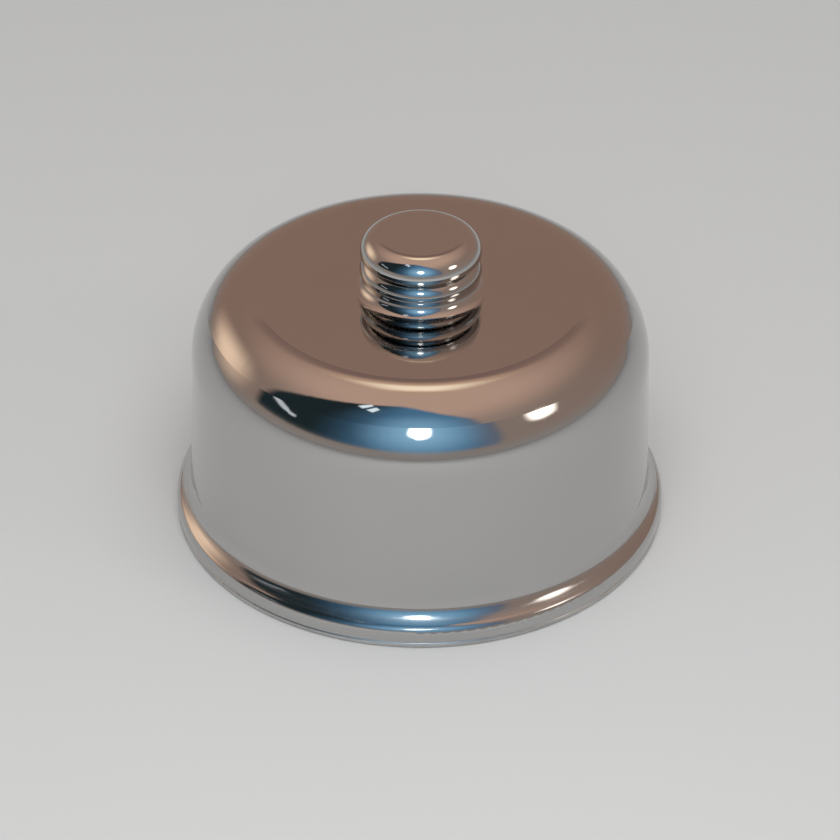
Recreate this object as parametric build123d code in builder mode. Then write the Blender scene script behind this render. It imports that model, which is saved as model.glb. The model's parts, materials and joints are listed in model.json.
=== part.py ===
import math
import os

from build123d import *

# Air filter housing of a small engine: a polished bell cover on a pressed pan,
# a knob on a centre stud that holds them together, and a round dry filter inside.
# Millimetres, +Z up.  The origin is the centre of the plane that the rim stands on.

# ---- clearances ------------------------------------------------------------
running_gap = 0.05
seat_gap = 0.02
full_turn = 360
quarter_turn = 90

# ---- bell cover ------------------------------------------------------------
cover_sheet = 0.8
rim_radius = 54.35
rim_height = 1.45
skirt_bottom = rim_height + running_gap
brim_corner_height = 4.44
brim_corner_radius = 2.1
flare_corner_height = 7.2
flare_corner_radius = 6.5
wall_lean = 1.83
shoulder_base = 39.7
shoulder_width = 14.6
cover_top = 56.45
wall_radius = 50.0
shoulder_top_radius = 13.5
crease_angle = 88.0
shoulder_crown = cover_top + shoulder_top_radius * (1 - math.sin(math.radians(crease_angle)))
shoulder_height = shoulder_crown - shoulder_base
shoulder_low_radius = (
    shoulder_width**2 + (shoulder_height - shoulder_top_radius) ** 2 - shoulder_top_radius**2
) / (2 * (shoulder_width - shoulder_top_radius))
low_centre = (wall_radius - shoulder_low_radius, shoulder_base)
top_centre = (wall_radius - shoulder_width, shoulder_crown - shoulder_top_radius)
blend_angle = math.degrees(math.atan2(top_centre[1] - low_centre[1], top_centre[0] - low_centre[0]))
wall_top = (
    low_centre[0] + shoulder_low_radius * math.cos(math.radians(wall_lean)),
    low_centre[1] + shoulder_low_radius * math.sin(math.radians(wall_lean)),
)
flare_corner = (
    wall_top[0] + (wall_top[1] - flare_corner_height) * math.tan(math.radians(wall_lean)),
    flare_corner_height,
)
crease_point = (top_centre[0] + shoulder_top_radius * math.cos(math.radians(crease_angle)), cover_top)
cover_ceiling = cover_top - cover_sheet

boss_radius = 12.0
boss_height = 3.95
boss_flare_radius = 2.85
boss_corner_radius = 1.0
boss_top = cover_top + boss_height
boss_ceiling = boss_top - cover_sheet
knob_hole_radius = 6.6

doubler_radius = 10.9
doubler_sheet = 0.8
doubler_bottom = boss_ceiling - doubler_sheet
pad_inner_radius = 30.0
pad_outer_radius = 35.0

# ---- knob ------------------------------------------------------------------
knob_base = boss_top + running_gap
knob_height = 9.15
knob_flat_radius = 8.8
head_shoulder_radius = 4.3
head_radius = knob_flat_radius + head_shoulder_radius
head_shoulder_height = knob_height - head_shoulder_radius
head_lip_height = 4.65
head_under_height = 3.85
head_under_radius = 11.2
neck_radius = 11.0
bead_centre = (10.2, 0.45)
bead_radius = 3.0
bead_rise = 60
knob_foot_radius = 12.95
bead_top = (
    bead_centre[0] + bead_radius * math.cos(math.radians(bead_rise)),
    bead_centre[1] + bead_radius * math.sin(math.radians(bead_rise)),
)
washer_inner_radius = 6.9
washer_outer_radius = 9.5
washer_thickness = 0.8
hub_radius = 6.5
hub_depth = 3.4
groove_radius = 5.6
groove_top = 1.75
groove_bottom = 2.5
ring_outer_radius = 8.2
ring_mouth = 7.0
insert_radius = 4.98
insert_bore = 3.05
insert_top = 7.2
knob_bore_radius = 5.0
knob_bore_top = 7.6

# ---- pan -------------------------------------------------------------------
pan_sheet = 1.0
pan_wall_radius = 48.0
pan_floor = 13.0
pan_underside = pan_floor - pan_sheet
pan_top_round = 2.5
pan_foot_round = 1.4
pan_throat_radius = 20.6
hem_width = 2.4
hem_round = 0.6
vent_count = 14
vent_length = 9.5
vent_width = 5.0
vent_circle = 42.2
rivet_circle = 24.5
rivet_hole_radius = 1.65

gasket_inner_radius = 49.6
gasket_outer_radius = 53.2
gasket_height = 2.4
gasket_round = 0.7

screen_inner_radius = 39.3
screen_outer_radius = 45.2
screen_sheet = 0.4
screen_hole_radius = 0.75
screen_rows = (40.4, 42.25, 44.1)
screen_holes_per_row = 96

# ---- throat collar and its clamp -------------------------------------------
collar_bore = 19.05
collar_wall = 1.2
collar_outer = collar_bore + collar_wall
collar_bottom = 0.6
paper_thickness = 0.5
collar_top = pan_underside - paper_thickness
collar_flange = 1.2
collar_flange_radius = 28.0
collar_round = 0.8
slit_width = 1.6
slit_top = 8.0
slit_count = 4
slit_start_angle = 45

band_inner = collar_outer + seat_gap
band_outer = band_inner + 1.0
band_bottom = 1.2
band_top = 8.8
ear_inner = 3.0
ear_outer = 4.0
ear_end = 30.5
ear_round = 2.0
clamp_screw_offset = 26.0
clamp_screw_height = (band_bottom + band_top) / 2
clamp_screw_radius = 2.0
ear_hole_radius = 2.1
screw_head_radius = 3.4
screw_head_height = 2.6
screw_slot_width = 0.9
screw_slot_depth = 1.1
clamp_nut_width = 7.0
clamp_nut_thickness = 3.2
clamp_nut_bore = 2.05
clamp_screw_end = -9.4

# ---- rivets ----------------------------------------------------------------
rivet_radius = 1.6
rivet_head_radius = 2.8
rivet_head_height = 0.9
rivet_dome = 0.8
collar_rivet_angles = (60, 120, 240, 300)
bridge_rivet_angles = (0, 180)

# ---- bridge and centre stud ------------------------------------------------
bridge_sheet = 2.0
bridge_width = 9.0
bridge_foot_end = 27.4
bridge_foot_start = 21.0
bridge_top_start = 11.0
bridge_top = 22.0
bridge_bend = 1.6
stud_radius = 3.0
stud_bottom = 14.0
stud_top = knob_base + 6.4
stud_chamfer = 0.7
bridge_hole_radius = 3.05
nut_width = 10.0
nut_thickness = 5.0
nut_bore = 3.02
nut_chamfer = 0.5
lock_washer_radius = 5.4
lock_washer_thickness = 1.6
lock_washer_gap = 1.4

# ---- filter element --------------------------------------------------------
element_sheet = 0.6
foam_round = 0.7
element_seal_inner = 29.5
element_seal_outer = 37.0
bottom_seal_height = 1.95
bottom_seal_base = pan_floor + running_gap
bottom_cap_base = bottom_seal_base + bottom_seal_height
bottom_cap_lip = 3.4
cap_outer_radius = 38.9
cap_inner_radius = 28.0
cap_round = 1.1
top_cap_top = 50.0
top_cap_lip = 4.0
top_cap_dish_depth = 2.0
top_cap_dish_radius = 17.0
top_cap_dish_rim = 19.5
top_cap_hole = 3.4
top_seal_height = 1.2
pad_bottom = top_cap_top + top_seal_height + running_gap

media_bottom = bottom_cap_base + element_sheet + seat_gap
media_top = top_cap_top - element_sheet - seat_gap
cage_sheet = 0.5
inner_cage_radius = 29.2
outer_cage_radius = 34.9
pleat_inner_radius = 29.8
pleat_outer_radius = 34.8
pleat_radial_thickness = 1.1
pleat_count = 54
foam_inner_radius = outer_cage_radius + cage_sheet + seat_gap
foam_outer_radius = cap_outer_radius - element_sheet - seat_gap
inner_cage_hole = 1.5
inner_cage_columns = 26
outer_cage_hole = 1.4
outer_cage_columns = 32
cage_rows = 6
cage_edge = 5.4


def draw_ring(outer, inner):
    """Draw a flat ring in the sketch that is open."""
    Circle(outer)
    Circle(inner, mode=Mode.SUBTRACT)


def pleated_profile(outer, inner):
    """Closed star that folds back and forth between two radii, where the media starts."""
    corners = []
    for fold in range(2 * pleat_count):
        radius = outer if fold % 2 == 0 else inner
        angle = math.pi * fold / pleat_count
        corners.append((radius * math.cos(angle), radius * math.sin(angle)))
    with BuildSketch(Plane.XY.offset(media_bottom)) as profile:
        with BuildLine():
            Polyline(*corners, close=True)
        make_face()
    return profile.sketch


def punch_tube(radius, hole_radius, columns):
    """Punch staggered rows of round holes through the tube that is being built."""
    span = media_top - media_bottom - 2 * cage_edge
    hole_places = []
    for row in range(cage_rows):
        height = media_bottom + cage_edge + span * row / (cage_rows - 1)
        stagger = (row % 2) / 2
        for column in range(columns):
            angle = 2 * math.pi * (column + stagger) / columns
            outward = (math.cos(angle), math.sin(angle), 0)
            middle = (radius * outward[0], radius * outward[1], height)
            hole_places.append(Location(Plane(origin=middle, z_dir=outward)))
    with Locations(*hole_places):
        Cylinder(hole_radius, 4 * cage_sheet, mode=Mode.SUBTRACT)


def rivet(bottom, top):
    """One domed rivet on the Z axis, its heads outside the two heights."""
    with BuildPart() as solid:
        with BuildSketch(Plane.XY.offset(bottom - rivet_head_height)):
            Circle(rivet_head_radius)
        extrude(amount=rivet_head_height - seat_gap)
        with BuildSketch(Plane.XY.offset(top + seat_gap)):
            Circle(rivet_head_radius)
        extrude(amount=rivet_head_height - seat_gap)
        fillet(solid.edges().group_by(Axis.Z)[0] + solid.edges().group_by(Axis.Z)[-1], radius=rivet_dome)
        with BuildSketch(Plane.XY.offset(bottom - rivet_head_height / 2)):
            Circle(rivet_radius)
        extrude(amount=top - bottom + rivet_head_height)
    return solid.part


def set_rivets(angles, bottom, top):
    """Set one domed rivet at each angle of the rivet circle."""
    places = []
    for angle in angles:
        turn = math.radians(angle)
        places.append((rivet_circle * math.cos(turn), rivet_circle * math.sin(turn)))
    with Locations(*places):
        add(rivet(bottom, top))


# ---- cover_shell: one drawn sheet, from the skirt up to the boss that carries the knob ----
with BuildPart() as cover_shell:
    with BuildSketch(Plane.XZ):
        with BuildLine():
            FilletPolyline(
                (rim_radius, skirt_bottom),
                (rim_radius, brim_corner_height),
                flare_corner,
                wall_top,
                radius=(brim_corner_radius, flare_corner_radius),
            )
            CenterArc(low_centre, shoulder_low_radius, wall_lean, blend_angle - wall_lean)
            CenterArc(top_centre, shoulder_top_radius, blend_angle, crease_angle - blend_angle)
            FilletPolyline(
                crease_point,
                (boss_radius, cover_top),
                (boss_radius, boss_top),
                (knob_hole_radius, boss_top),
                radius=(boss_flare_radius, boss_corner_radius),
            )
            offset(amount=cover_sheet, side=Side.LEFT)
        make_face()
    revolve(axis=Axis.Z)

# ---- cover_doubler: the disc welded inside the boss, where the knob pulls ----
with BuildPart() as cover_doubler:
    with BuildSketch(Plane.XY.offset(doubler_bottom)):
        draw_ring(doubler_radius, knob_hole_radius)
    extrude(amount=doubler_sheet - seat_gap)
    chamfer(cover_doubler.edges().group_by(Axis.Z)[0].sort_by(SortBy.RADIUS)[-1], length=doubler_sheet / 2)

# ---- cover_pressure_pad: the rubber ring that keeps the element down ----
with BuildPart() as cover_pressure_pad:
    with BuildSketch(Plane.XY.offset(pad_bottom)):
        draw_ring(pad_outer_radius, pad_inner_radius)
    extrude(amount=cover_ceiling - pad_bottom - seat_gap)
    fillet(cover_pressure_pad.edges().group_by(Axis.Z)[0], radius=gasket_round)

# ---- knob: turned head and bead, with a hub through the cover ----
with BuildPart() as knob:
    with BuildSketch(Plane(origin=(0, 0, knob_base), x_dir=(1, 0, 0), z_dir=(0, -1, 0))):
        with BuildLine():
            Polyline((0, knob_bore_top), (0, knob_height), (knob_flat_radius, knob_height))
            CenterArc((knob_flat_radius, head_shoulder_height), head_shoulder_radius, quarter_turn, -quarter_turn)
            Line((head_radius, head_shoulder_height), (head_radius, head_lip_height))
            EllipticalCenterArc(
                (head_under_radius, head_lip_height),
                head_radius - head_under_radius,
                head_lip_height - head_under_height,
                start_angle=-quarter_turn,
                arc_size=quarter_turn,
            )
            Polyline(
                (head_under_radius, head_under_height),
                (neck_radius, head_under_height),
                (neck_radius, bead_top[1]),
                bead_top,
            )
            CenterArc(bead_centre, bead_radius, bead_rise, -bead_rise)
            Polyline(
                (bead_centre[0] + bead_radius, bead_centre[1]),
                (knob_foot_radius, 0),
                (washer_outer_radius + running_gap, 0),
                (washer_outer_radius + running_gap, washer_thickness),
                (hub_radius, washer_thickness),
                (hub_radius, -groove_top),
                (groove_radius, -groove_top),
                (groove_radius, -groove_bottom),
                (hub_radius, -groove_bottom),
                (hub_radius, -hub_depth),
                (knob_bore_radius, -hub_depth),
                (knob_bore_radius, knob_bore_top),
                (0, knob_bore_top),
            )
        make_face()
    revolve(axis=Axis.Z)

# ---- knob_insert: the brass thread that runs on the stud ----
with BuildPart() as knob_insert:
    with BuildSketch(Plane.XY.offset(knob_base - hub_depth)):
        draw_ring(insert_radius, insert_bore)
    extrude(amount=hub_depth + insert_top)
    chamfer(knob_insert.edges().filter_by(GeomType.CIRCLE).sort_by(SortBy.RADIUS)[:1], length=stud_chamfer)

# ---- knob_washer: the fibre washer in the recess under the foot ----
with BuildPart() as knob_washer:
    with BuildSketch(Plane.XY.offset(knob_base)):
        draw_ring(washer_outer_radius, washer_inner_radius)
    extrude(amount=washer_thickness - seat_gap)

# ---- knob_retaining_ring: the open ring that keeps the knob in the cover ----
with BuildPart() as knob_retaining_ring:
    with BuildSketch(Plane.XY.offset(knob_base - groove_bottom + seat_gap)):
        draw_ring(ring_outer_radius, groove_radius + seat_gap)
        with Locations((ring_outer_radius, 0)):
            Rectangle(2 * ring_outer_radius - groove_radius, ring_mouth, mode=Mode.SUBTRACT)
    extrude(amount=groove_bottom - groove_top - 2 * seat_gap)

# ---- base_pan: pressed pan with a hemmed rim, a raised floor, vents and the throat ----
with BuildPart() as base_pan:
    with BuildSketch(Plane.XZ):
        with BuildLine():
            FilletPolyline(
                (rim_radius - hem_round, rim_height),
                (pan_wall_radius, rim_height),
                (pan_wall_radius, pan_floor),
                (pan_throat_radius, pan_floor),
                radius=(pan_foot_round, pan_top_round),
            )
            offset(amount=pan_sheet, side=Side.LEFT)
        make_face()
        with Locations((rim_radius - hem_width / 2, rim_height / 2)):
            RectangleRounded(hem_width, rim_height, hem_round)
    revolve(axis=Axis.Z)
    with BuildSketch(Plane.XY.offset(pan_underside)):
        with PolarLocations(vent_circle, vent_count):
            SlotOverall(vent_length, vent_width, rotation=quarter_turn)
        with PolarLocations(rivet_circle, len(collar_rivet_angles) + len(bridge_rivet_angles)):
            Circle(rivet_hole_radius)
    extrude(amount=pan_sheet, mode=Mode.SUBTRACT)

# ---- cover_gasket: the rubber ring on the rim, inside the skirt ----
with BuildPart() as cover_gasket:
    with BuildSketch(Plane.XY.offset(rim_height + seat_gap)):
        draw_ring(gasket_outer_radius, gasket_inner_radius)
    extrude(amount=gasket_height)
    fillet(cover_gasket.edges().group_by(Axis.Z)[-1], radius=gasket_round)

# ---- inlet_screen: the punched ring over the vents ----
with BuildPart() as inlet_screen:
    with BuildSketch(Plane.XY.offset(pan_floor + seat_gap)):
        draw_ring(screen_outer_radius, screen_inner_radius)
        for row_number, row_radius in enumerate(screen_rows):
            row_shift = (row_number % 2) * full_turn / screen_holes_per_row / 2
            with PolarLocations(row_radius, screen_holes_per_row, start_angle=row_shift):
                Circle(screen_hole_radius, mode=Mode.SUBTRACT)
    extrude(amount=screen_sheet)

# ---- throat_collar: the split tube that grips the carburettor neck ----
with BuildPart() as throat_collar:
    with BuildSketch(Plane.XZ):
        with BuildLine():
            Polyline(
                (collar_bore, collar_bottom),
                (collar_bore, collar_top),
                (collar_flange_radius, collar_top),
                (collar_flange_radius, collar_top - collar_flange),
                (collar_outer + collar_round, collar_top - collar_flange),
            )
            ThreePointArc(
                (collar_outer + collar_round, collar_top - collar_flange),
                (
                    collar_outer + collar_round * (1 - math.sqrt(0.5)),
                    collar_top - collar_flange - collar_round * (1 - math.sqrt(0.5)),
                ),
                (collar_outer, collar_top - collar_flange - collar_round),
            )
            Polyline(
                (collar_outer, collar_top - collar_flange - collar_round),
                (collar_outer, collar_bottom),
                (collar_bore, collar_bottom),
            )
        make_face()
    revolve(axis=Axis.Z)
    with BuildSketch(Plane.XY.offset(collar_bottom)):
        with PolarLocations(collar_bore, slit_count, start_angle=slit_start_angle):
            Rectangle(3 * collar_wall, slit_width)
    extrude(amount=slit_top - collar_bottom, mode=Mode.SUBTRACT)
    with BuildSketch(Plane.XY.offset(collar_top - collar_flange)):
        with PolarLocations(rivet_circle, len(collar_rivet_angles) + len(bridge_rivet_angles)):
            Circle(rivet_hole_radius)
    extrude(amount=collar_flange, mode=Mode.SUBTRACT)

# ---- collar_gasket: the paper ring between the collar and the pan ----
with BuildPart() as collar_gasket:
    with BuildSketch(Plane.XY.offset(collar_top + seat_gap)):
        draw_ring(collar_flange_radius, pan_throat_radius)
        with PolarLocations(rivet_circle, len(collar_rivet_angles) + len(bridge_rivet_angles)):
            Circle(rivet_hole_radius, mode=Mode.SUBTRACT)
    extrude(amount=paper_thickness - 2 * seat_gap)

# ---- collar_clamp: the band round the collar, with two ears for its screw ----
with BuildPart() as collar_clamp:
    with BuildSketch(Plane.XY.offset(band_bottom)):
        draw_ring(band_outer, band_inner)
        with Locations((0, band_outer)):
            Rectangle(2 * ear_inner, band_outer, mode=Mode.SUBTRACT)
        for ear_side in (-1, 1):
            with Locations((ear_side * (ear_inner + ear_outer) / 2, (band_inner + ear_end) / 2)):
                Rectangle(ear_outer - ear_inner, ear_end - band_inner)
    extrude(amount=band_top - band_bottom)
    fillet(collar_clamp.edges().filter_by(Axis.X).group_by(Axis.Y)[-1], radius=ear_round)
    with BuildSketch(Plane.YZ.offset(-2 * ear_outer)):
        with Locations((clamp_screw_offset, clamp_screw_height)):
            Circle(ear_hole_radius)
    extrude(amount=4 * ear_outer, mode=Mode.SUBTRACT)

# ---- clamp_screw: slotted screw through both ears ----
with BuildPart() as clamp_screw:
    with BuildSketch(Plane.YZ.offset(clamp_screw_end)):
        with Locations((clamp_screw_offset, clamp_screw_height)):
            Circle(clamp_screw_radius)
    extrude(amount=ear_outer + running_gap - clamp_screw_end)
    with BuildSketch(Plane.YZ.offset(ear_outer + running_gap)):
        with Locations((clamp_screw_offset, clamp_screw_height)):
            Circle(screw_head_radius)
    extrude(amount=screw_head_height)
    chamfer(clamp_screw.edges().group_by(Axis.X)[0], length=stud_chamfer / 2)
    fillet(clamp_screw.edges().group_by(Axis.X)[-1], radius=stud_chamfer)
    with BuildSketch(Plane.YZ.offset(ear_outer + running_gap + screw_head_height - screw_slot_depth)):
        with Locations((clamp_screw_offset, clamp_screw_height)):
            Rectangle(screw_slot_width, 3 * screw_head_radius)
    extrude(amount=screw_head_height, mode=Mode.SUBTRACT)

# ---- clamp_nut: square nut behind the far ear ----
with BuildPart() as clamp_nut:
    with BuildSketch(Plane.YZ.offset(-ear_outer - seat_gap - clamp_nut_thickness)):
        with Locations((clamp_screw_offset, clamp_screw_height)):
            Rectangle(clamp_nut_width, clamp_nut_width)
            Circle(clamp_nut_bore, mode=Mode.SUBTRACT)
    extrude(amount=clamp_nut_thickness)

# ---- collar_rivets: four domed rivets through pan, paper and collar ----
with BuildPart() as collar_rivets:
    set_rivets(collar_rivet_angles, collar_top - collar_flange, pan_floor)

# ---- bridge_rivets: two longer rivets that also hold the bridge ----
with BuildPart() as bridge_rivets:
    set_rivets(bridge_rivet_angles, collar_top - collar_flange, pan_floor + bridge_sheet)

# ---- stud_bridge: the bent strap across the throat ----
with BuildPart() as stud_bridge:
    with BuildSketch(Plane.XZ):
        with BuildLine():
            FilletPolyline(
                (-bridge_foot_end, pan_floor + bridge_sheet),
                (-bridge_foot_start, pan_floor + bridge_sheet),
                (-bridge_top_start, bridge_top),
                (bridge_top_start, bridge_top),
                (bridge_foot_start, pan_floor + bridge_sheet),
                (bridge_foot_end, pan_floor + bridge_sheet),
                radius=bridge_bend + bridge_sheet,
            )
            offset(amount=bridge_sheet - seat_gap, side=Side.RIGHT)
        make_face()
    extrude(amount=bridge_width / 2, both=True)
    with BuildSketch(Plane.XY):
        Circle(bridge_hole_radius)
        with Locations((-rivet_circle, 0), (rivet_circle, 0)):
            Circle(rivet_hole_radius)
    extrude(amount=bridge_top + bridge_sheet, mode=Mode.SUBTRACT)

# ---- centre_stud: plain rod with chamfered ends, standing in for its thread ----
with BuildPart() as centre_stud:
    with BuildSketch(Plane.XY.offset(stud_bottom)):
        Circle(stud_radius)
    extrude(amount=stud_top - stud_bottom)
    chamfer(centre_stud.edges().filter_by(GeomType.CIRCLE), length=stud_chamfer)

# ---- stud_lower_nut: the hexagon nut under the bridge ----
with BuildPart() as stud_lower_nut:
    with BuildSketch(Plane.XY.offset(bridge_top - bridge_sheet - nut_thickness)):
        RegularPolygon(nut_width / 2, 6, major_radius=False)
        Circle(nut_bore, mode=Mode.SUBTRACT)
    extrude(amount=nut_thickness)
    chamfer(stud_lower_nut.edges().filter_by(GeomType.CIRCLE), length=nut_chamfer)

# ---- stud_lock_washer: the split washer on the bridge ----
with BuildPart() as stud_lock_washer:
    with BuildSketch(Plane.XY.offset(bridge_top + seat_gap)):
        draw_ring(lock_washer_radius, nut_bore)
        with Locations((lock_washer_radius, 0)):
            Rectangle(lock_washer_radius, lock_washer_gap, mode=Mode.SUBTRACT)
    extrude(amount=lock_washer_thickness)

# ---- stud_upper_nut: the hexagon nut that locks the stud ----
with BuildPart() as stud_upper_nut:
    with BuildSketch(Plane.XY.offset(bridge_top + lock_washer_thickness + 2 * seat_gap)):
        RegularPolygon(nut_width / 2, 6, major_radius=False)
        Circle(nut_bore, mode=Mode.SUBTRACT)
    extrude(amount=nut_thickness)
    chamfer(stud_upper_nut.edges().filter_by(GeomType.CIRCLE), length=nut_chamfer)

# ---- element_bottom_seal: the soft ring the element stands on ----
with BuildPart() as element_bottom_seal:
    with BuildSketch(Plane.XY.offset(bottom_seal_base)):
        draw_ring(element_seal_outer, element_seal_inner)
    extrude(amount=bottom_seal_height - seat_gap)
    fillet(element_bottom_seal.edges().group_by(Axis.Z)[0], radius=gasket_round)

# ---- element_bottom_cap: pressed channel ring that holds the media ----
with BuildPart() as element_bottom_cap:
    with BuildSketch(Plane.XZ):
        with BuildLine():
            FilletPolyline(
                (cap_outer_radius, bottom_cap_base + bottom_cap_lip),
                (cap_outer_radius, bottom_cap_base),
                (cap_inner_radius, bottom_cap_base),
                (cap_inner_radius, bottom_cap_base + bottom_cap_lip),
                radius=cap_round,
            )
            offset(amount=element_sheet, side=Side.RIGHT)
        make_face()
    revolve(axis=Axis.Z)

# ---- element_top_cap: dished disc with a hole for the stud ----
with BuildPart() as element_top_cap:
    with BuildSketch(Plane.XZ):
        with BuildLine():
            FilletPolyline(
                (top_cap_hole, top_cap_top - top_cap_dish_depth),
                (top_cap_dish_radius, top_cap_top - top_cap_dish_depth),
                (top_cap_dish_rim, top_cap_top),
                (cap_outer_radius, top_cap_top),
                (cap_outer_radius, top_cap_top - top_cap_lip),
                radius=cap_round,
            )
            offset(amount=element_sheet, side=Side.RIGHT)
        make_face()
    revolve(axis=Axis.Z)

# ---- element_top_seal: the soft ring under the cover's pad ----
with BuildPart() as element_top_seal:
    with BuildSketch(Plane.XY.offset(top_cap_top + seat_gap)):
        draw_ring(element_seal_outer, element_seal_inner)
    extrude(amount=top_seal_height - seat_gap)

# ---- inner_cage: punched tube inside the media ----
with BuildPart() as inner_cage:
    with BuildSketch(Plane.XY.offset(media_bottom)):
        draw_ring(inner_cage_radius + cage_sheet, inner_cage_radius)
    extrude(amount=media_top - media_bottom)
    punch_tube(inner_cage_radius, inner_cage_hole, inner_cage_columns)

# ---- outer_cage: punched tube outside the media ----
with BuildPart() as outer_cage:
    with BuildSketch(Plane.XY.offset(media_bottom)):
        draw_ring(outer_cage_radius + cage_sheet, outer_cage_radius)
    extrude(amount=media_top - media_bottom)
    punch_tube(outer_cage_radius, outer_cage_hole, outer_cage_columns)

# ---- pleated_media: folded filter paper ----
with BuildPart() as pleated_media:
    extrude(
        pleated_profile(pleat_outer_radius, pleat_inner_radius + pleat_radial_thickness),
        amount=media_top - media_bottom,
    )
    extrude(
        pleated_profile(pleat_outer_radius - pleat_radial_thickness, pleat_inner_radius),
        amount=media_top - media_bottom,
        mode=Mode.SUBTRACT,
    )

# ---- foam_prefilter: the sleeve round the element ----
with BuildPart() as foam_prefilter:
    with BuildSketch(Plane.XY.offset(media_bottom)):
        draw_ring(foam_outer_radius, foam_inner_radius)
    extrude(amount=media_top - media_bottom)
    fillet(foam_prefilter.edges().filter_by(GeomType.CIRCLE).sort_by(SortBy.RADIUS)[-2:], radius=foam_round)

parts = {
    "cover_shell": cover_shell,
    "cover_doubler": cover_doubler,
    "cover_pressure_pad": cover_pressure_pad,
    "knob": knob,
    "knob_insert": knob_insert,
    "knob_washer": knob_washer,
    "knob_retaining_ring": knob_retaining_ring,
    "base_pan": base_pan,
    "cover_gasket": cover_gasket,
    "inlet_screen": inlet_screen,
    "throat_collar": throat_collar,
    "collar_gasket": collar_gasket,
    "collar_clamp": collar_clamp,
    "clamp_screw": clamp_screw,
    "clamp_nut": clamp_nut,
    "collar_rivets": collar_rivets,
    "bridge_rivets": bridge_rivets,
    "stud_bridge": stud_bridge,
    "centre_stud": centre_stud,
    "stud_lower_nut": stud_lower_nut,
    "stud_lock_washer": stud_lock_washer,
    "stud_upper_nut": stud_upper_nut,
    "element_bottom_seal": element_bottom_seal,
    "element_bottom_cap": element_bottom_cap,
    "element_top_cap": element_top_cap,
    "element_top_seal": element_top_seal,
    "inner_cage": inner_cage,
    "outer_cage": outer_cage,
    "pleated_media": pleated_media,
    "foam_prefilter": foam_prefilter,
}

os.makedirs("parts", exist_ok=True)
for node_name, piece in parts.items():
    piece.part.label = node_name
    export_step(piece.part, f"parts/{node_name}.step")
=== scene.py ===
import json
import math

import bmesh
import bpy
from mathutils import Matrix, Vector


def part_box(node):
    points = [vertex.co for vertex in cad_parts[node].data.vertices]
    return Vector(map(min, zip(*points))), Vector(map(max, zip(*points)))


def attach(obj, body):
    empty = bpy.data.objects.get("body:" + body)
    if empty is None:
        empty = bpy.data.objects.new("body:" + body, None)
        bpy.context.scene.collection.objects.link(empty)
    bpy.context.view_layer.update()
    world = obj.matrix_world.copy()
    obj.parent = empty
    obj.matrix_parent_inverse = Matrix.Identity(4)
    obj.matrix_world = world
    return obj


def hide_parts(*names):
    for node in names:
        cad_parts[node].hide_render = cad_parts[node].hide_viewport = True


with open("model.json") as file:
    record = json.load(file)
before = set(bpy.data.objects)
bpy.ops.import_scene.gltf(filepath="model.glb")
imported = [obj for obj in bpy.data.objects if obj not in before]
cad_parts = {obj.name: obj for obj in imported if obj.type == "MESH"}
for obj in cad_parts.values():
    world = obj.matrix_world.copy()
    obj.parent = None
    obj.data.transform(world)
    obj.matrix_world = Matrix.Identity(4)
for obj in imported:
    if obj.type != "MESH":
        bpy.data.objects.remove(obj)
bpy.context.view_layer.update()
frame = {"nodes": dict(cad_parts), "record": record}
nodes = frame["nodes"]

# The housing's own measures, read from the frame, in metres.
knob_high = Vector(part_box("knob")[1])
foam_low, foam_high = [Vector(corner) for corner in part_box("foam_prefilter")]
cage_high = Vector(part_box("outer_cage")[1])
stud_low, stud_high = [Vector(corner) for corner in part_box("centre_stud")]
millimetre = 0.001
thread_pitch = 1.0 * millimetre
thread_depth = 0.55 * millimetre


# ---------------------------------------------------------------- shader tools
class Channel:
    """One node output. Arithmetic on it adds Math nodes."""

    def __init__(self, finish, socket):
        self.finish = finish
        self.socket = socket

    def _math(self, operation, *values):
        node = self.finish.node(
            "ShaderNodeMath", {"operation": operation}, dict(enumerate(values))
        )
        return node["Value"]

    def __add__(self, other):
        return self._math("ADD", self, other)

    def __radd__(self, other):
        return self._math("ADD", other, self)

    def __sub__(self, other):
        return self._math("SUBTRACT", self, other)

    def __rsub__(self, other):
        return self._math("SUBTRACT", other, self)

    def __mul__(self, other):
        return self._math("MULTIPLY", self, other)

    def __rmul__(self, other):
        return self._math("MULTIPLY", other, self)

    def __truediv__(self, other):
        return self._math("DIVIDE", self, other)

    def __rtruediv__(self, other):
        return self._math("DIVIDE", other, self)

    def __neg__(self):
        return self._math("MULTIPLY", self, -1.0)

    def __gt__(self, other):
        return self._math("GREATER_THAN", self, other)

    def __lt__(self, other):
        return self._math("LESS_THAN", self, other)

    def __abs__(self):
        return self._math("ABSOLUTE", self)

    def sine(self):
        return self._math("SINE", self)

    def root(self):
        return self._math("SQRT", self)

    def angle_to(self, other):
        return self._math("ARCTAN2", self, other)

    def least(self, other):
        return self._math("MINIMUM", self, other)

    def step(self, start, end):
        """0 up to start, 1 from end on, smooth between them; start may be above end."""
        node = self.finish.node(
            "ShaderNodeMapRange",
            {"interpolation_type": "SMOOTHSTEP"},
            {"Value": self, "From Min": start, "From Max": end, "To Min": 0.0, "To Max": 1.0},
        )
        return node["Result"]


class Node:
    """A node whose outputs are read by name, as Channel."""

    def __init__(self, finish, node):
        self.finish = finish
        self.node = node

    def __getitem__(self, name):
        live = [s for s in self.node.outputs if s.enabled and s.name == name]
        return Channel(self.finish, live[0] if live else self.node.outputs[name])


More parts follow.
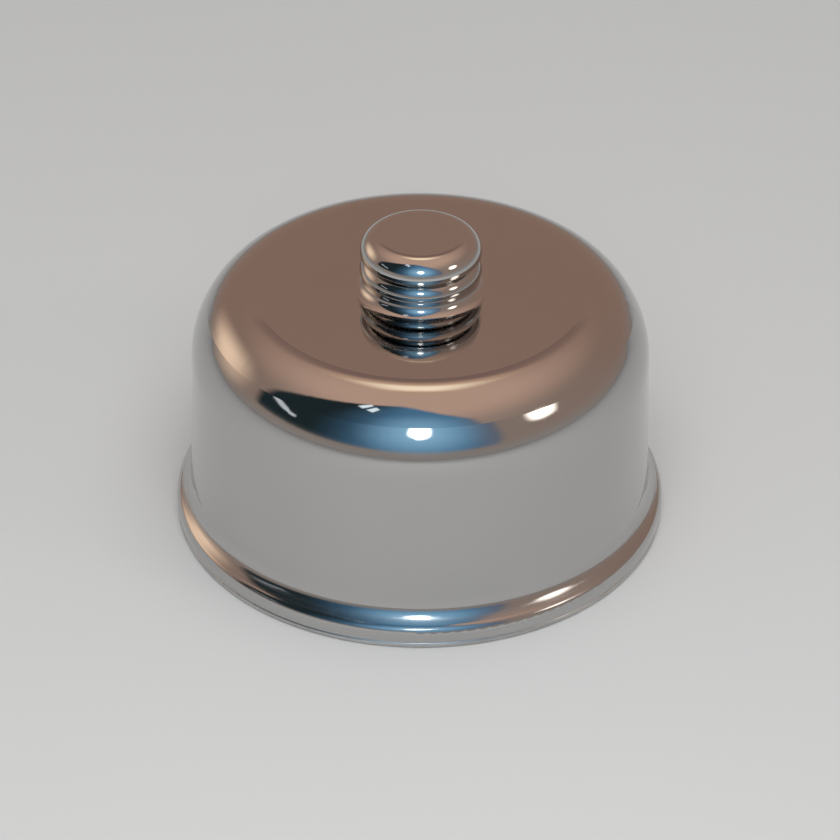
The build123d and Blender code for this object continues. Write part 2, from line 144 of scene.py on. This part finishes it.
class Finish:
    """A node tree under construction: a material's, or the studio's world."""

    def __init__(self, name, tree=None):
        if tree is None:
            self.material = bpy.data.materials.new(name)
            self.material.use_nodes = True
            tree = self.material.node_tree
        self.tree = tree
        self.tree.nodes.clear()

    def node(self, kind, settings=None, sockets=None):
        """Add any node: its type, its settings, then the values or links of its sockets."""
        node = self.tree.nodes.new(kind)
        for key, value in (settings or {}).items():
            if key == "stops":
                stops = node.color_ramp.elements
                while len(stops) > 1:
                    stops.remove(stops[-1])
                stops[0].position = value[0][0]
                stops[0].color = (*value[0][1], 1.0)
                for place, colour in value[1:]:
                    stops.new(place).color = (*colour, 1.0)
            else:
                setattr(node, key, value)
        for key, value in (sockets or {}).items():
            if isinstance(key, int):
                socket = node.inputs[key]
            else:
                live = [s for s in node.inputs if s.enabled and s.name == key]
                socket = live[0] if live else node.inputs[key]
            if isinstance(value, Channel):
                self.tree.links.new(value.socket, socket)
            elif socket.type == "RGBA" and len(value) == 3:
                socket.default_value = (*value, 1.0)
            else:
                socket.default_value = value
        return Node(self, node)

    # ---- places on the object
    def place(self):
        return self.node("ShaderNodeTexCoord")["Object"]

    def axes(self, vector):
        split = self.node("ShaderNodeSeparateXYZ", None, {"Vector": vector})
        return split["X"], split["Y"], split["Z"]

    def vector(self, x, y, z):
        return self.node("ShaderNodeCombineXYZ", None, {"X": x, "Y": y, "Z": z})["Vector"]

    def round_place(self):
        """Radius, angle and height about the stud's axis."""
        x, y, z = self.axes(self.place())
        radius = (x * x + y * y).root()
        return radius, y.angle_to(x), z

    # ---- textures
    def noise(self, vector, scale, detail=3.0, roughness=0.5, distortion=0.0):
        return self.node(
            "ShaderNodeTexNoise",
            {"noise_dimensions": "3D"},
            {
                "Vector": vector,
                "Scale": scale,
                "Detail": detail,
                "Roughness": roughness,
                "Distortion": distortion,
            },
        )["Fac"]

    def turned_lines(self, spot, rate, drift, detail=2.0):
        """Lines round the axis, from radius, angle and height; rate is in lines per metre."""
        radius, angle, height = spot
        return self.noise(self.vector(radius * rate, angle * drift, height * rate), 1.0, detail)

    def cells(self, vector, scale, feature="F1", output="Distance"):
        return self.node(
            "ShaderNodeTexVoronoi",
            {"feature": feature},
            {"Vector": vector, "Scale": scale, "Randomness": 1.0},
        )[output]

    def stretch(self, vector, x, y, z):
        return self.node(
            "ShaderNodeVectorMath", {"operation": "MULTIPLY"}, {0: vector, 1: (x, y, z)}
        )["Vector"]

    def blend(self, amount, first, second):
        """Colour mix."""
        return self.node(
            "ShaderNodeMix",
            {"data_type": "RGBA", "blend_type": "MIX"},
            {"Factor": amount, "A": first, "B": second},
        )["Result"]

    def tint(self, amount, stops):
        return self.node("ShaderNodeValToRGB", {"stops": stops}, {"Fac": amount})["Color"]

    def bump(self, height, strength, distance, under=None):
        sockets = {"Height": height, "Strength": strength, "Distance": distance}
        if under is not None:
            sockets["Normal"] = under
        return self.node("ShaderNodeBump", None, sockets)["Normal"]

    def surface(self, **sockets):
        """End the tree in a Principled shader."""
        named = {key.replace("_", " "): value for key, value in sockets.items()}
        shader = self.node("ShaderNodeBsdfPrincipled", None, named)
        self.node("ShaderNodeOutputMaterial", None, {"Surface": shader["BSDF"]})
        return self.material

    # ---- marks that handling leaves
    def fingerprints(self, vector, patch=17 * millimetre, ridge=0.5 * millimetre):
        """Ridged smudges in some patches of the surface, 0 to 1."""
        wobble = self.noise(vector, 60.0, 2.0)
        reach = self.cells(vector, 1.0 / patch)
        chosen = self.axes(self.cells(vector, 1.0 / patch, output="Color"))[0] > 0.62
        rings = ((reach * patch + wobble * 2.2 * millimetre) * (2 * math.pi / ridge)).sine()
        ridges = rings.step(-0.3, 0.5)
        fade = reach.step(0.42, 0.2) * self.noise(vector, 220.0, 2.0).step(0.35, 0.6)
        return ridges * fade * chosen

    def smears(self, vector):
        """Soft wiped patches, 0 to 1."""
        wiped = self.noise(self.stretch(vector, 1.0, 1.0, 2.6), 34.0, 4.0, 0.55, 0.6)
        return wiped.step(0.46, 0.72)

    def hairlines(self, vector, scale=900.0, sharp=0.08):
        """Fine random scratches, 0 to 1."""
        bent = self.noise(self.stretch(vector, 1.0, 0.13, 0.13), scale, 2.0, 0.5, 0.2)
        crossed = self.noise(self.stretch(vector, 0.12, 1.0, 0.16), scale * 0.8, 2.0, 0.5, 0.2)
        return (bent.step(0.5 + sharp, 0.72) + crossed.step(0.5 + sharp, 0.74)).least(1.0)


# ---------------------------------------------------------------- finishes
def polished_sheet():
    """Mirror polish on drawn sheet steel: faint spinning lines, smears and fingerprints."""
    finish = Finish("mirror_polished_sheet")
    place = finish.place()
    spot = finish.round_place()
    smears = finish.smears(place)
    scratches = finish.hairlines(place)
    ring_lines = finish.turned_lines(spot, 5200.0, 0.6)
    cloud = finish.noise(place, 18.0, 3.0)
    rubbed_top, rubbed_full = 10.5 * millimetre, 6.0 * millimetre
    low_rim = spot[2].step(rubbed_top, rubbed_full)
    drawn_lines = finish.turned_lines(spot, 1500.0, 0.9, 3.0)
    prints = finish.fingerprints(place) * (1.0 - low_rim)
    rim_streaks = drawn_lines.step(0.42, 0.66) * low_rim
    colour = finish.blend(
        (cloud.step(0.3, 0.7) * 0.5 + rim_streaks * 0.8).least(1.0),
        (0.520, 0.514, 0.508),
        (0.475, 0.472, 0.470),
    )
    roughness = (
        0.035
        + smears * 0.028
        + prints * 0.10
        + scratches * 0.035
        + ring_lines * 0.012
        + low_rim * 0.055
        + rim_streaks * 0.12
    )
    fine = finish.bump(ring_lines + scratches * 0.4, 0.035, 0.00002)
    waves = finish.bump(finish.noise(place, 26.0, 1.0), 0.05, 0.0004, fine)
    return finish.surface(
        Base_Color=colour, Metallic=1.0, Roughness=roughness, Normal=waves
    )


def polished_knob():
    """Mirror polish on a turned knob: tool rings in the grooves, painted shade in the grooves
    under the head, and handling marks on the head.
    """
    finish = Finish("mirror_polished_knob")
    place = finish.place()
    spot = finish.round_place()
    prints = finish.fingerprints(place, 11 * millimetre, 0.45 * millimetre)
    scratches = finish.hairlines(place, 1200.0)
    tool_rings = finish.turned_lines(spot, 6500.0, 0.4)
    head_depth, groove_fade = 5.2 * millimetre, 1.5 * millimetre
    head_line = knob_high.z - head_depth
    # Below the head the colour turns darker: painted shade in the grooves. The roughness there
    # also rises a little.
    groove_shade_and_roughness = spot[2].step(head_line, head_line - groove_fade)
    colour = finish.blend(groove_shade_and_roughness * 0.6, (0.530, 0.524, 0.515), (0.44, 0.436, 0.43))
    roughness = 0.035 + prints * 0.09 + scratches * 0.04 + tool_rings * 0.02 + groove_shade_and_roughness * 0.02
    normal = finish.bump(tool_rings + scratches * 0.4, 0.04, 0.00002)
    return finish.surface(
        Base_Color=colour, Metallic=1.0, Roughness=roughness, Normal=normal
    )


def rolled_steel(name, bright, dark, roughness, lines=2600.0, spots=0.3):
    """Plain sheet or bar steel with rolling lines, dull patches and a few stains."""
    finish = Finish(name)
    place = finish.place()
    grain = finish.noise(finish.stretch(place, 1.0, 0.06, 1.0), lines, 2.0)
    clouds = finish.noise(place, 46.0, 4.0, 0.6)
    stains = finish.noise(place, 130.0, 5.0, 0.65, 0.4).step(0.6, 0.76)
    scratches = finish.hairlines(place, 620.0)
    colour = finish.blend((clouds.step(0.3, 0.7) * 0.7 + stains * spots).least(1.0), bright, dark)
    rough = roughness + clouds * 0.12 + grain * 0.08 + stains * 0.16 - scratches * 0.08
    normal = finish.bump(grain + scratches * 0.5, 0.12, 0.00004)
    return finish.surface(Base_Color=colour, Metallic=1.0, Roughness=rough, Normal=normal)


def zinc_plate():
    """Yellow-tinged zinc plate with a cloudy rainbow and fine wear."""
    finish = Finish("zinc_plate")
    place = finish.place()
    clouds = finish.noise(place, 210.0, 4.0, 0.6)
    colour = finish.tint(
        clouds,
        [(0.25, (0.58, 0.57, 0.50)), (0.5, (0.70, 0.66, 0.48)), (0.75, (0.60, 0.62, 0.60))],
    )
    wear = finish.hairlines(place, 800.0)
    rough = 0.22 + clouds * 0.14 + wear * 0.1
    normal = finish.bump(clouds + wear, 0.08, 0.00004)
    return finish.surface(Base_Color=colour, Metallic=1.0, Roughness=rough, Normal=normal)


def stud_thread():
    """Zinc plate on a rolled thread: bright crests, and painted shade darkening the roots, which
    are also rougher.
    """
    finish = Finish("threaded_zinc_stud")
    place = finish.place()
    radius = finish.round_place()[0]
    clouds = finish.noise(place, 260.0, 4.0)
    # Darker towards the thread roots: painted shade in the roots. The roots also get more
    # roughness.
    root_shade_and_roughness = radius.step(stud_high.x - 0.1 * millimetre, stud_high.x - thread_depth)
    colour = finish.blend(root_shade_and_roughness * 0.8, (0.68, 0.65, 0.50), (0.26, 0.24, 0.20))
    rough = 0.24 + clouds * 0.14 + root_shade_and_roughness * 0.2
    return finish.surface(Base_Color=colour, Metallic=1.0, Roughness=rough)


def turned_brass():
    """Machined brass with tool rings and light tarnish."""
    finish = Finish("turned_brass")
    place = finish.place()
    rings = finish.turned_lines(finish.round_place(), 4200.0, 0.5)
    tarnish = finish.noise(place, 160.0, 4.0).step(0.42, 0.7)
    colour = finish.blend(tarnish, (0.80, 0.62, 0.30), (0.50, 0.34, 0.15))
    rough = 0.2 + rings * 0.1 + tarnish * 0.18
    return finish.surface(
        Base_Color=colour, Metallic=1.0, Roughness=rough, Normal=finish.bump(rings, 0.1, 0.00004)
    )


def moulded_rubber():
    """Black rubber with mould grain, a dusty bloom and slight sheen."""
    finish = Finish("moulded_rubber")
    place = finish.place()
    grain = finish.noise(place, 2400.0, 3.0)
    bloom = finish.noise(place, 70.0, 4.0, 0.6).step(0.45, 0.75)
    colour = finish.blend(bloom * 0.5, (0.022, 0.022, 0.023), (0.075, 0.073, 0.070))
    rough = 0.55 + bloom * 0.22 + grain * 0.08
    normal = finish.bump(grain, 0.25, 0.00005)
    return finish.surface(Base_Color=colour, Roughness=rough, Normal=normal)


def pressed_felt():
    """Grey felt: matted short fibres with lighter strands."""
    finish = Finish("pressed_felt")
    place = finish.place()
    mat = finish.noise(place, 900.0, 5.0, 0.7, 1.2)
    combed = finish.stretch(place, 1.0, 0.2, 0.5)
    strands = finish.noise(combed, 2600.0, 3.0, 0.6, 2.0).step(0.55, 0.7)
    light = (mat * 0.6 + strands * 0.5).least(1.0)
    colour = finish.blend(light, (0.20, 0.19, 0.17), (0.46, 0.44, 0.39))
    normal = finish.bump(mat + strands, 0.6, 0.0002)
    return finish.surface(
        Base_Color=colour, Roughness=0.95, Normal=normal, Sheen_Weight=0.3, Sheen_Roughness=0.5
    )


def gasket_paper():
    """Oiled gasket paper: short fibres and darker oily patches."""
    finish = Finish("oiled_gasket_paper")
    place = finish.place()
    fibre = finish.noise(finish.stretch(place, 1.0, 0.3, 1.0), 1800.0, 4.0, 0.6, 1.0)
    oil = finish.noise(place, 90.0, 3.0).step(0.4, 0.65)
    colour = finish.blend(oil, (0.40, 0.33, 0.22), (0.20, 0.15, 0.09))
    rough = 0.85 - oil * 0.35
    return finish.surface(
        Base_Color=colour, Roughness=rough, Normal=finish.bump(fibre, 0.4, 0.00008)
    )


def red_fibre():
    """Vulcanised fibre washer: dull red with a faint laid grain."""
    finish = Finish("red_vulcanised_fibre")
    place = finish.place()
    grain = finish.noise(finish.stretch(place, 1.0, 0.15, 1.0), 1500.0, 3.0)
    patches = finish.noise(place, 120.0, 3.0)
    colour = finish.blend(patches, (0.34, 0.06, 0.035), (0.22, 0.04, 0.03))
    rough = 0.5 + grain * 0.2
    return finish.surface(
        Base_Color=colour, Roughness=rough, Normal=finish.bump(grain, 0.3, 0.00006)
    )


def filter_paper():
    """Resin-treated filter paper: warm, fibrous, dusted on the outer folds."""
    finish = Finish("resin_filter_paper")
    place = finish.place()
    radius, _, height = finish.round_place()
    fibre = finish.noise(place, 1700.0, 4.0, 0.65, 1.5)
    dust = radius.step(cage_high.x - 4.0 * millimetre, cage_high.x) * finish.noise(
        place, 150.0, 4.0
    ).step(0.4, 0.65)
    emboss_pitch = 1.6 * millimetre
    embossed = (height * (2 * math.pi / emboss_pitch)).sine() * 0.5 + 0.5
    clean = finish.blend(fibre, (0.78, 0.64, 0.36), (0.88, 0.78, 0.52))
    colour = finish.blend(dust * 0.6, clean, (0.30, 0.26, 0.20))
    normal = finish.bump(fibre * 0.5 + embossed * 0.5, 0.4, 0.0002)
    return finish.surface(Base_Color=colour, Roughness=0.92, Normal=normal)


def cell_foam():
    """Open-cell foam: fine struts with painted shade in the pores, lightly oiled and dusty."""
    finish = Finish("open_cell_foam")
    place = finish.place()
    pores = finish.cells(place, 720.0, "DISTANCE_TO_EDGE").step(0.0, 0.34)
    deep = finish.cells(place, 1300.0, "DISTANCE_TO_EDGE").step(0.0, 0.3)
    dust = finish.noise(place, 90.0, 4.0, 0.6).step(0.42, 0.72)
    strut = finish.blend(dust, (0.085, 0.088, 0.095), (0.20, 0.18, 0.15))
    # The pores are coloured near black: painted shade in the foam's cavities, which the bump also
    # sinks.
    colour = finish.blend((pores * 0.8 + deep * 0.3).least(1.0), strut, (0.006, 0.006, 0.007))
    normal = finish.bump(-1.0 * (pores + deep * 0.4), 0.9, 0.0005)
    return finish.surface(Base_Color=colour, Roughness=0.9, Normal=normal)


finishes = {
    "polished_steel": polished_sheet(),
    "knob_polish": polished_knob(),
    "pan_steel": rolled_steel("pan_zinc_sheet", (0.60, 0.60, 0.59), (0.40, 0.40, 0.39), 0.24),
    "collar_steel": rolled_steel("collar_steel", (0.58, 0.58, 0.59), (0.38, 0.38, 0.39), 0.22),
    "plain_steel": rolled_steel(
        "bare_steel", (0.55, 0.545, 0.54), (0.30, 0.28, 0.26), 0.3, 1800.0, 0.5
    ),
    "rivet_steel": rolled_steel("rivet_steel", (0.62, 0.62, 0.62), (0.42, 0.42, 0.42), 0.26),
    "cage_steel": rolled_steel(
        "galvanised_sheet", (0.62, 0.63, 0.63), (0.42, 0.43, 0.44), 0.34, 900.0
    ),
    "cap_steel": rolled_steel("tinned_sheet", (0.66, 0.65, 0.61), (0.46, 0.44, 0.40), 0.2),
    "screen_steel": rolled_steel("punched_sheet", (0.52, 0.52, 0.53), (0.30, 0.30, 0.30), 0.34),
    "zinc_fastener": zinc_plate(),
    "brass_insert": turned_brass(),
    "fibre_washer": red_fibre(),
    "black_rubber": moulded_rubber(),
    "seal_felt": pressed_felt(),
    "gasket_paper": gasket_paper(),
    "filter_paper": filter_paper(),
    "foam": cell_foam(),
}
for part in frame["record"]["subparts"]:
    nodes[part["node"]].material_slots[0].material = finishes[part["material_slot"]]


# ---------------------------------------------------------------- the foam sleeve
def build_foam_sleeve():
    """A padded tube that bulges between the two caps, with rolled ends and a glued seam."""
    around, along = 192, 28
    inset = 0.35 * millimetre
    outer = foam_high.x - inset
    cage_gap = 0.15 * millimetre
    inner = cage_high.x + cage_gap
    tall = foam_high.z - foam_low.z
    bulge = 0.45 * millimetre
    end_roll, roll_sharpness = 0.9 * millimetre, 14
    seam_depth, seam_place, seam_width = 0.35 * millimetre, 180, 1.6
    mesh = bmesh.new()
    profile = []
    for step in range(along + 1):
        level = step / along
        belly = math.sin(math.pi * level) ** 0.6
        end_round = end_roll * (abs(2 * level - 1) ** roll_sharpness)
        profile.append((outer + bulge * belly - end_round, foam_low.z + tall * level))
    for step in range(along + 1):
        level = 1 - step / along
        profile.append((inner, foam_low.z + tall * level))
    rings = []
    for turn in range(around):
        angle = 2 * math.pi * turn / around
        seam = seam_depth * math.exp(-((math.degrees(angle) - seam_place) / seam_width) ** 2)
        ring = []
        for place, (radius, height) in enumerate(profile):
            reach = radius - (seam if place <= along else 0.0)
            ring.append(mesh.verts.new((reach * math.cos(angle), reach * math.sin(angle), height)))
        rings.append(ring)
    count = len(profile)
    for turn in range(around):
        here, there = rings[turn], rings[(turn + 1) % around]
        for place in range(count):
            after = (place + 1) % count
            mesh.faces.new((here[place], there[place], there[after], here[after]))
    bmesh.ops.recalc_face_normals(mesh, faces=mesh.faces)
    data = bpy.data.meshes.new("foam_sleeve")
    mesh.to_mesh(data)
    mesh.free()
    data.shade_smooth()
    data.materials.append(finishes["foam"])
    sleeve = bpy.data.objects.new("foam_sleeve", data)
    bpy.context.scene.collection.objects.link(sleeve)
    return sleeve


foam_sleeve = build_foam_sleeve()
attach(foam_sleeve, "filter_element")
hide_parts("foam_prefilter")


# ---------------------------------------------------------------- the stud's thread
def build_stud_thread():
    """The centre stud with its rolled thread as a real helix, chamfered at both ends."""
    around, per_turn = 40, 8
    length = stud_high.z - stud_low.z
    along = round(length / thread_pitch * per_turn)
    chamfer = 0.8 * millimetre
    flank_slope = 1.25
    mesh = bmesh.new()
    rings = []
    for step in range(along + 1):
        height = length * step / along
        end_limit = stud_high.x - chamfer + min(height, length - height, chamfer)
        ring = []
        for turn in range(around):
            angle = 2 * math.pi * turn / around
            phase = (height / thread_pitch - turn / around) % 1.0
            crest = min(1.0, flank_slope * abs(2.0 * phase - 1.0))
            reach = min(stud_high.x - thread_depth * (1.0 - crest), end_limit)
            across, aside = reach * math.cos(angle), reach * math.sin(angle)
            ring.append(mesh.verts.new((across, aside, stud_low.z + height)))
        rings.append(ring)
    for below, above in zip(rings, rings[1:]):
        for turn in range(around):
            after = (turn + 1) % around
            mesh.faces.new((below[turn], below[after], above[after], above[turn]))
    mesh.faces.new(list(reversed(rings[0])))
    mesh.faces.new(rings[-1])
    bmesh.ops.recalc_face_normals(mesh, faces=mesh.faces)
    data = bpy.data.meshes.new("threaded_stud")
    mesh.to_mesh(data)
    mesh.free()
    data.materials.append(stud_thread())
    stud = bpy.data.objects.new("threaded_stud", data)
    bpy.context.scene.collection.objects.link(stud)
    return stud


threaded_stud = build_stud_thread()
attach(threaded_stud, "pan_assembly")
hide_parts("centre_stud")


# ---------------------------------------------------------------- studio
def build_floor():
    """A plain pale floor."""
    finish = Finish("pale_floor")
    place = finish.place()
    mottle = finish.noise(place, 3.0, 3.0)
    colour = finish.blend(mottle, (0.66, 0.655, 0.645), (0.70, 0.695, 0.685))
    material = finish.surface(Base_Color=colour, Roughness=0.9, Specular_IOR_Level=0.1)
    floor_size, floor_drop = 8.0, 0.05 * millimetre
    bpy.ops.mesh.primitive_plane_add(size=floor_size, location=(0, 0, -floor_drop))
    floor = bpy.context.object
    floor.name = "studio_floor"
    floor.data.materials.append(material)


def build_world():
    """The room that the polish mirrors: warm walls and ceiling, a cool opening in front, lamps.

    A direction is its turn from the front and its rise above the horizon, both in degrees.
    """
    world = bpy.data.worlds.new("studio_room")
    bpy.context.scene.world = world
    world.use_nodes = True
    room = Finish("studio_room", world.node_tree)
    x, y, z = room.axes(room.node("ShaderNodeTexCoord")["Generated"])
    in_degrees = 180.0 / math.pi
    turn = x.angle_to(-y) * in_degrees
    rise = z.angle_to((x * x + y * y).root()) * in_degrees

    def patch(centre_turn, centre_rise, half_turn, half_rise, soft):
        """Soft-edged oval of directions: 1 inside, 0 outside."""
        across = (turn - centre_turn) / half_turn
        up = (rise - centre_rise) / half_rise
        reach = (across * across + up * up).root()
        return reach.step(1.0 + soft, 1.0 - soft)

    def bar(centre_turn, centre_rise, half_turn, half_rise, lean, soft):
        """Soft-edged leaning bar of directions."""
        across = abs(turn - centre_turn)
        up = abs((rise - centre_rise) - (turn - centre_turn) * lean)
        return across.step(half_turn + soft, half_turn) * up.step(half_rise + soft, half_rise)

    away = abs(turn) * (1.0 / 180.0)
    wall = room.blend(away.step(0.2, 0.9), (0.39, 0.30, 0.255), (0.39, 0.25, 0.195))
    colour = room.blend(rise.step(30.0, 72.0), wall, (0.79, 0.52, 0.40))
    dark_beam = away.step(0.86, 0.98) * rise.step(35.0, 37.5) * rise.step(54.0, 47.0)
    colour = room.blend(dark_beam * 0.8, colour, (0.26, 0.16, 0.14))
    back_wall = away.step(0.84, 0.97) * rise.step(46.0, 56.0) * rise.step(80.0, 70.0)
    colour = room.blend(back_wall, colour, (0.78, 0.50, 0.34))
    back_lamp = away.step(0.86, 0.98) * rise.step(53.0, 61.0) * rise.step(73.0, 65.0)
    colour = room.blend(back_lamp, colour, (1.65, 1.32, 0.97))
    # the cool opening
    opening = patch(-23.5, 22.0, 63.5, 55.0, 0.05) * rise.step(6.0, 10.5)
    cool = room.blend(turn.step(-58.0, -8.0), (0.020, 0.034, 0.040), (0.11, 0.27, 0.46))
    cool = room.blend(turn.step(18.0, 40.0), cool, (0.20, 0.23, 0.30))
    colour = room.blend(opening, colour, cool)
    # glow and lamp in the opening, three streaks, a warm spot and a warm light far left
    gleams = [
        (patch(0.0, 32.0, 20.0, 19.0, 0.95) * 0.6, (0.60, 1.10, 1.50)),
        (patch(0.0, 33.0, 5.0, 6.5, 0.45), (8.0, 8.4, 8.6)),
        (bar(-50.0, 67.0, 2.6, 2.6, -0.35, 1.6), (1.3, 1.5, 1.6)),
        (bar(-39.0, 64.0, 2.6, 2.6, -0.35, 1.6), (1.3, 1.5, 1.6)),
        (bar(-72.0, 21.0, 7.0, 0.6, -0.22, 1.6), (0.8, 0.86, 0.9)),
        (patch(65.0, 27.0, 7.5, 6.5, 0.5), (4.6, 4.2, 3.8)),
        (patch(-118.0, 16.0, 15.0, 13.0, 0.85), (1.40, 1.02, 0.74)),
    ]
    for shape, gleam in gleams:
        colour = room.blend(shape, colour, gleam)
    # the floor's far part fades into the walls
    low = rise.step(15.0, -7.0)
    low_wall = room.blend(away.step(0.35, 0.7), (0.385, 0.37, 0.355), (0.36, 0.305, 0.27))
    colour = room.blend(low, colour, low_wall)
    path = room.node("ShaderNodeLightPath")
    colour = room.blend(path["Is Diffuse Ray"], colour, (0.33, 0.333, 0.34))
    colour = room.blend(path["Is Camera Ray"], colour, (0.60, 0.60, 0.60))
    light = room.node("ShaderNodeBackground", None, {"Color": colour, "Strength": 1.0})
    room.node("ShaderNodeOutputWorld", None, {"Surface": light["Background"]})


def build_soft_light(name, location, size, watts, colour):
    """A large soft lamp that lights the floor and stays out of the mirror."""
    data = bpy.data.lights.new(name, "AREA")
    data.shape = "DISK"
    data.size = size
    data.energy = watts
    data.color = colour
    lamp = bpy.data.objects.new(name, data)
    lamp.location = location
    lamp.rotation_euler = (-Vector(location)).to_track_quat("-Z", "Y").to_euler()
    lamp.visible_glossy = False
    bpy.context.scene.collection.objects.link(lamp)


def build_camera():
    """Camera in front of the housing, about 35 degrees above the horizon."""
    data = bpy.data.cameras.new("studio_camera")
    data.sensor_width = 36.0
    data.lens = 140.6
    data.clip_start = 0.01
    camera = bpy.data.objects.new("studio_camera", data)
    rise = math.radians(34.8)
    distance = 0.728
    aim_height = 21.2 * millimetre
    roll = math.radians(0.3)
    aim = Vector((0.0, 0.0, aim_height))
    camera.location = aim + distance * Vector((0.0, -math.cos(rise), math.sin(rise)))
    look = (aim - camera.location).to_track_quat("-Z", "Y").to_matrix()
    tilt = Matrix.Rotation(roll, 3, "Z")
    camera.rotation_euler = (look @ tilt).to_euler()
    bpy.context.scene.collection.objects.link(camera)
    bpy.context.scene.camera = camera


build_floor()
build_world()
build_soft_light("overhead_soft_light", (0.1, -0.25, 1.5), 1.6, 8.5, (1.0, 1.0, 1.0))
build_soft_light("front_soft_light", (0.0, -0.35, 0.40), 0.35, 0.8, (0.97, 0.99, 1.0))
build_camera()
bpy.context.scene.view_settings.view_transform = "Standard"
bpy.context.scene.view_settings.look = "None"
